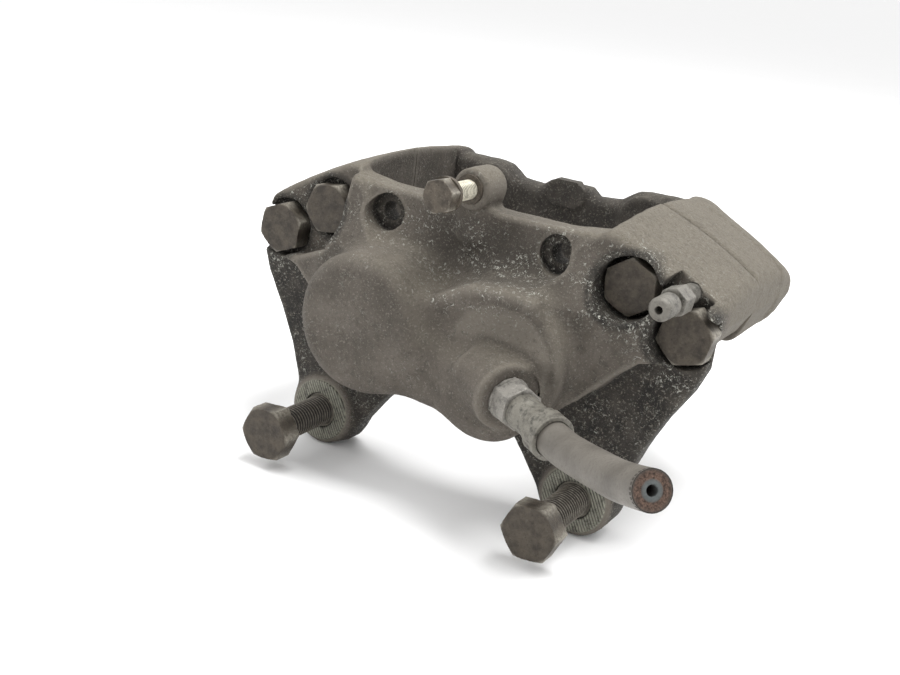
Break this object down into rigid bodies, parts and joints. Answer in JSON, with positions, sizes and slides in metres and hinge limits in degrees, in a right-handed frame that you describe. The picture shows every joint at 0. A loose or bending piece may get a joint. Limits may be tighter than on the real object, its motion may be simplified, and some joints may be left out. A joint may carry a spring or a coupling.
{
  "type": "brake caliper",
  "caption": "Fixed disc brake caliper with opposed pistons in two bolted cast halves, integral mounting lugs, bleed screw and a cut length of brake hose.",
  "frame": {"origin": "midway between the two mounting holes, on the plane of the machined lug faces", "axes": "+X along the caliper from mounting hole to mounting hole, +Y along the wheel axis towards the outboard half, +Z radially outwards from the axle"},
  "size_m": [0.2104, 0.208, 0.1225],
  "materials": {
    "cast_iron": "rough sand casting, dusty warm grey-brown with pale corrosion speckle",
    "dark_steel": "oxidised dark brown-grey, worn lighter on the edges",
    "piston_steel": "ground and plated",
    "zinc_plate": "dull aged zinc",
    "rubber": "matte black",
    "hose_rubber": "satin grey rubber"
  },
  "bodies": {
    "caliper": {"inner_housing": "cast_iron", "outer_housing": "cast_iron", "bridge_bolts": "dark_steel", "crossover_seal": "rubber", "retainer_bush": "zinc_plate", "hose_fitting": "zinc_plate", "hose_sleeve": "zinc_plate", "brake_hose": "hose_rubber", "seal_inner_left": "rubber", "boot_inner_left": "rubber", "boot_ring_inner_left": "zinc_plate", "seal_inner_right": "rubber", "boot_inner_right": "rubber", "boot_ring_inner_right": "zinc_plate", "seal_outer_left": "rubber", "boot_outer_left": "rubber", "boot_ring_outer_left": "zinc_plate", "seal_outer_right": "rubber", "boot_outer_right": "rubber", "boot_ring_outer_right": "zinc_plate"},
    "piston_inner_left": {"piston_inner_left": "piston_steel"},
    "piston_inner_right": {"piston_inner_right": "piston_steel"},
    "piston_outer_left": {"piston_outer_left": "piston_steel"},
    "piston_outer_right": {"piston_outer_right": "piston_steel"},
    "mount_bolt_left": {"mount_bolt_left": "dark_steel"},
    "mount_bolt_right": {"mount_bolt_right": "dark_steel"},
    "retainer_washer": {"retainer_washer": "dark_steel"},
    "retainer_bolt": {"retainer_bolt": "dark_steel"},
    "bleed_screw": {"bleed_screw": "zinc_plate"}
  },
  "joints": [
    {"name": "piston_inner_left_slide", "type": "slide", "parent": "caliper", "child": "piston_inner_left", "axis": [0, 1, 0], "range_m": [-0.001, 0.012], "deforming": ["boot_inner_left"]},
    {"name": "piston_inner_right_slide", "type": "slide", "parent": "caliper", "child": "piston_inner_right", "axis": [0, 1, 0], "range_m": [-0.001, 0.012], "deforming": ["boot_inner_right"]},
    {"name": "piston_outer_left_slide", "type": "slide", "parent": "caliper", "child": "piston_outer_left", "axis": [0, -1, 0], "range_m": [-0.001, 0.012], "deforming": ["boot_outer_left"]},
    {"name": "piston_outer_right_slide", "type": "slide", "parent": "caliper", "child": "piston_outer_right", "axis": [0, -1, 0], "range_m": [-0.001, 0.012], "deforming": ["boot_outer_right"]},
    {"name": "mount_bolt_left_travel", "type": "slide", "parent": "caliper", "child": "mount_bolt_left", "axis": [0, 1, 0], "range_m": [-0.011, 0.026]},
    {"name": "mount_bolt_right_travel", "type": "slide", "parent": "caliper", "child": "mount_bolt_right", "axis": [0, 1, 0], "range_m": [-0.011, 0.026]},
    {"name": "retainer_travel", "type": "slide", "parent": "caliper", "child": "retainer_washer", "axis": [0, 1, 0], "range_m": [-0.0081, 0.0106]},
    {"name": "retainer_turn", "type": "hinge", "parent": "retainer_washer", "child": "retainer_bolt", "pos_m": [0, -0.02, 0.101], "axis": [0, 1, 0], "range_deg": [-2940, 3840]},
    {"name": "bleed_screw_turn", "type": "hinge", "parent": "caliper", "child": "bleed_screw", "pos_m": [0.0816, 0, 0.0816], "axis": [0, -1, 0], "range_deg": [0, 180]}
  ],
  "couplings": [
    {"joint": "retainer_turn", "follows": "retainer_travel", "rad_per_m": 6283.2}
  ]
}
